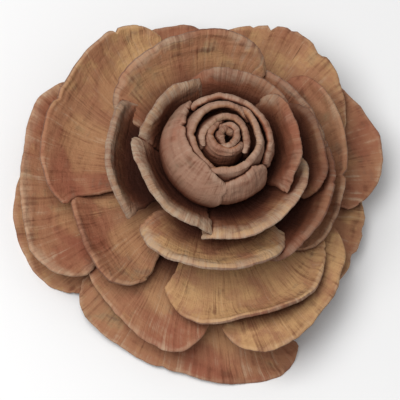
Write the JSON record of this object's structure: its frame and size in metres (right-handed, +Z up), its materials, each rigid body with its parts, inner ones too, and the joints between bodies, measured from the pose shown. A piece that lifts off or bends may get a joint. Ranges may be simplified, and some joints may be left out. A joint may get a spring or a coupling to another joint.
{
  "type": "cedar rose cone",
  "caption": "Woody cedar rose: the shed tip of a deodar cone, with thin fan-shaped scales in a spiral that close into a bud on top and spread flat below.",
  "frame": {"origin": "centre of the broken foot of the cone's axis, on the ground plane", "axes": "+Z up along the cone's axis, from its foot to its bud; +X and +Y across it, with -Y towards the picture's camera"},
  "size_m": [0.0656, 0.0677, 0.0366],
  "materials": {
    "cone_wood": "dry, matte, weathered"
  },
  "bodies": {
    "root": {"rose_cone": "cone_wood"}
  },
  "joints": []
}
